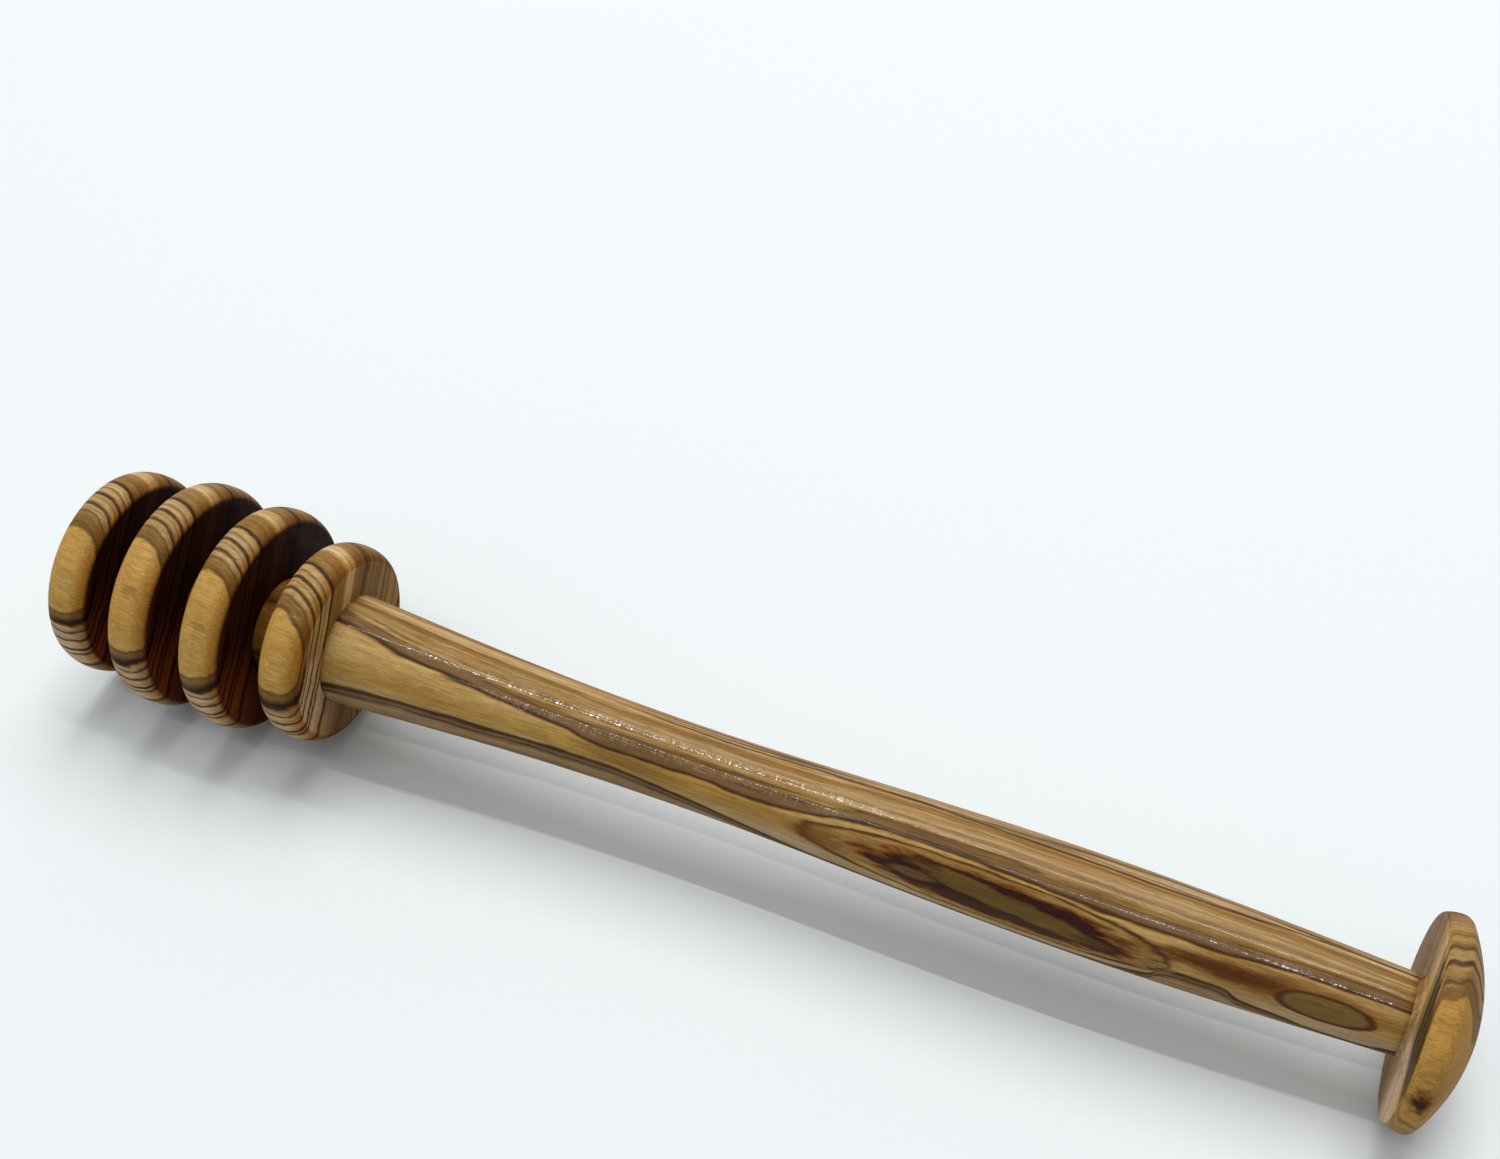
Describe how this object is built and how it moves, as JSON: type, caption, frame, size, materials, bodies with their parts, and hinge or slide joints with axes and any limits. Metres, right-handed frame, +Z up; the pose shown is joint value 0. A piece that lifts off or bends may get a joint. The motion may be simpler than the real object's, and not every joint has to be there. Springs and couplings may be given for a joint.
{
  "type": "honey dipper",
  "caption": "Turned olive-wood honey dipper: a barrel-shaped head of four round discs on a core, a slim waisted handle and a domed end button.",
  "frame": {"origin": "bottom centre of the bounding box, on the surface that the dipper lies on", "axes": "+X along the dipper from the tip disc to the end button, +Z up; the turning axis leans about 0.9 degrees below +X because the head is thicker than the button"},
  "size_m": [0.1768, 0.03, 0.03],
  "materials": {
    "olive_wood": "oiled satin"
  },
  "bodies": {
    "root": {"tip_disc": "olive_wood", "second_disc": "olive_wood", "third_disc": "olive_wood", "collar_disc": "olive_wood", "head_core": "olive_wood", "handle": "olive_wood", "end_button": "olive_wood"}
  },
  "joints": []
}
